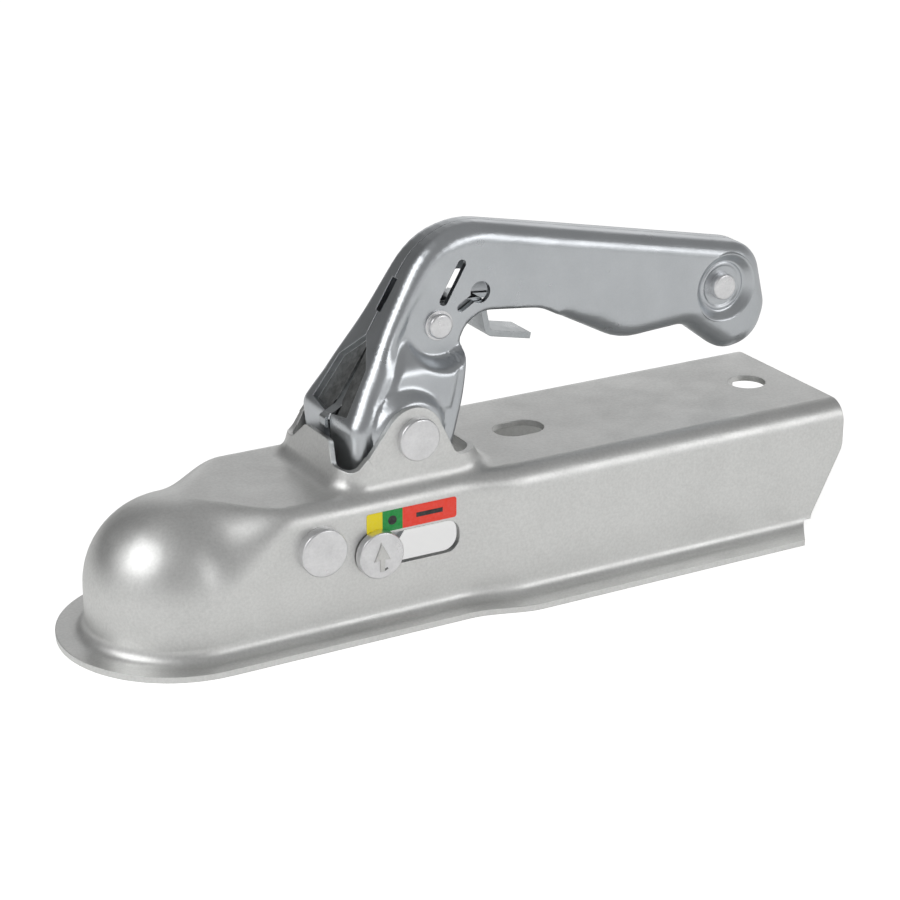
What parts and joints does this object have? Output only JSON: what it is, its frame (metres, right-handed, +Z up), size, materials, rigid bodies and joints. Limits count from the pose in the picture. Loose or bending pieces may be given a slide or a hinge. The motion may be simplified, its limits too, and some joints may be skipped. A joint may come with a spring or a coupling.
{
  "type": "trailer coupling head",
  "caption": "Pressed steel trailer coupling head with a domed ball socket, lift-up handle with latch trigger, ball jaw, sliding indicator pin and a channel for a square drawbar.",
  "frame": {"origin": "middle of the overall length and width, on the underside of the flange", "axes": "+X towards the drawbar, nose at -X, +Z up, -Y is the side with the label"},
  "size_m": [0.264, 0.086, 0.1155],
  "materials": {
    "body_zinc": "satin zinc plate over pressed sheet, fine grain",
    "handle_zinc": "bright zinc plate, smooth",
    "pin_zinc": "bright zinc plate with worn rims",
    "trigger_zinc": "zinc plate, cut edges",
    "sleeve_steel": "plain tube",
    "spring_steel": "oiled spring wire",
    "jaw_steel": "cast, zinc plated, dull",
    "label_film": "printed film with a yellow, a green and a red field"
  },
  "bodies": {
    "housing": {"housing": "body_zinc", "pivot_pin": "pin_zinc", "jaw_pin": "pin_zinc", "jaw_spacer_near": "sleeve_steel", "jaw_spacer_far": "sleeve_steel", "indicator_label": "label_film"},
    "handle": {"handle_half_near": "handle_zinc", "handle_half_far": "handle_zinc", "pivot_sleeve": "sleeve_steel", "trigger_pin": "pin_zinc", "trigger_sleeve": "sleeve_steel", "rear_rivet": "pin_zinc", "rear_spacer": "sleeve_steel", "handle_spring": "spring_steel"},
    "trigger": {"trigger": "trigger_zinc", "trigger_spring": "spring_steel"},
    "slider": {"indicator_pin": "pin_zinc", "indicator_cap": "pin_zinc"},
    "jaw": {"ball_jaw": "jaw_steel"}
  },
  "joints": [
    {"name": "handle_lift", "type": "hinge", "parent": "housing", "child": "handle", "pos_m": [-0.0243, 0, 0.057], "axis": [0, -1, 0], "range_deg": [0, 38], "stiffness_Nm_per_rad": 0.4, "springref_deg": -28.65, "deforming": ["handle_spring"]},
    {"name": "trigger_squeeze", "type": "hinge", "parent": "handle", "child": "trigger", "pos_m": [-0.0085, 0, 0.086], "axis": [0, -1, 0], "range_deg": [0, 7], "stiffness_Nm_per_rad": 0.1, "springref_deg": -5.73, "deforming": ["trigger_spring"]},
    {"name": "slider_travel", "type": "slide", "parent": "housing", "child": "slider", "axis": [1, 0, 0], "range_m": [0, 0.0225]},
    {"name": "jaw_swing", "type": "hinge", "parent": "housing", "child": "jaw", "pos_m": [-0.06, 0, 0.0296], "axis": [0, -1, 0], "range_deg": [0, 18]}
  ],
  "couplings": [
    {"joint": "slider_travel", "follows": "handle_lift", "m_per_rad": 0.033925},
    {"joint": "jaw_swing", "follows": "handle_lift", "ratio": 0.47368}
  ]
}
